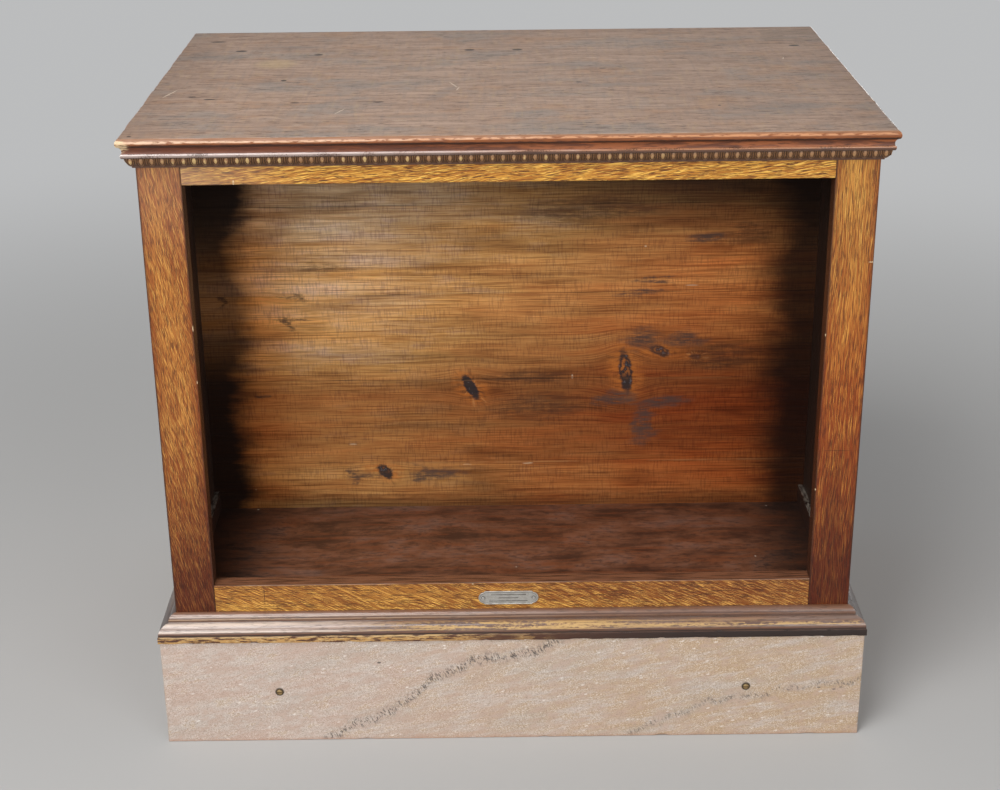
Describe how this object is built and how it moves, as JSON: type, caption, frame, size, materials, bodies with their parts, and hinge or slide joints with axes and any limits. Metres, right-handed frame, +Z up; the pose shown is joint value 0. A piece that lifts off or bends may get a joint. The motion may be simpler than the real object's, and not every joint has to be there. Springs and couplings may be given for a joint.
{
  "type": "open bookcase",
  "caption": "Low open-fronted oak bookcase with two faces, a pine divider, a moulded top with egg-and-dart strip, a moulded base and a plinth faced with marble slabs.",
  "frame": {"origin": "on the floor, under the middle of the case", "axes": "+X to the right across the front, +Y from the front face to the rear face, +Z up"},
  "size_m": [0.923, 0.6274, 0.8213],
  "materials": {
    "golden_oak": "old varnish on quartered oak",
    "dark_oak": "dark glossy old varnish",
    "worn_oak": "worn, dull old varnish",
    "stained_pine": "stained and varnished, knots",
    "dark_board": "dark stain, worn satin varnish",
    "bare_pine": "bare, aged",
    "marble": "honed pinkish marble",
    "brass": "tarnished",
    "steel": "dull",
    "nickel": "tarnished nickel"
  },
  "bodies": {
    "root": {"batten_screws": "steel", "cleat_nails": "steel", "divider_board_1": "stained_pine", "divider_board_2": "stained_pine", "divider_board_3": "stained_pine", "divider_board_4": "stained_pine", "divider_board_5": "stained_pine", "front_base_moulding": "dark_oak", "front_bottom_board": "dark_board", "front_bottom_rail": "golden_oak", "front_crown_moulding": "dark_oak", "front_left_shelf_cleat": "dark_board", "front_left_stile": "golden_oak", "front_left_top_batten": "bare_pine", "front_plinth_rail": "bare_pine", "front_right_shelf_cleat": "dark_board", "front_right_stile": "golden_oak", "front_right_top_batten": "bare_pine", "front_stone_slab": "marble", "front_top_batten": "bare_pine", "front_top_rail": "golden_oak", "left_base_moulding": "dark_oak", "left_crown_moulding": "dark_oak", "left_plinth_rail": "bare_pine", "left_side_panel": "golden_oak", "left_stone_slab": "marble", "plate": "nickel", "plate_pins": "nickel", "plinth_bearer": "bare_pine", "plinth_corner_blocks": "bare_pine", "rear_base_moulding": "dark_oak", "rear_bottom_board": "dark_board", "rear_bottom_rail": "golden_oak", "rear_crown_moulding": "dark_oak", "rear_left_shelf_cleat": "dark_board", "rear_left_stile": "golden_oak", "rear_left_top_batten": "bare_pine", "rear_plinth_rail": "bare_pine", "rear_right_shelf_cleat": "dark_board", "rear_right_stile": "golden_oak", "rear_right_top_batten": "bare_pine", "rear_stone_slab": "marble", "rear_top_batten": "bare_pine", "rear_top_rail": "golden_oak", "right_base_moulding": "dark_oak", "right_crown_moulding": "dark_oak", "right_plinth_rail": "bare_pine", "right_side_panel": "golden_oak", "right_stone_slab": "marble", "stone_screws": "brass", "top_board": "worn_oak"}
  },
  "joints": []
}
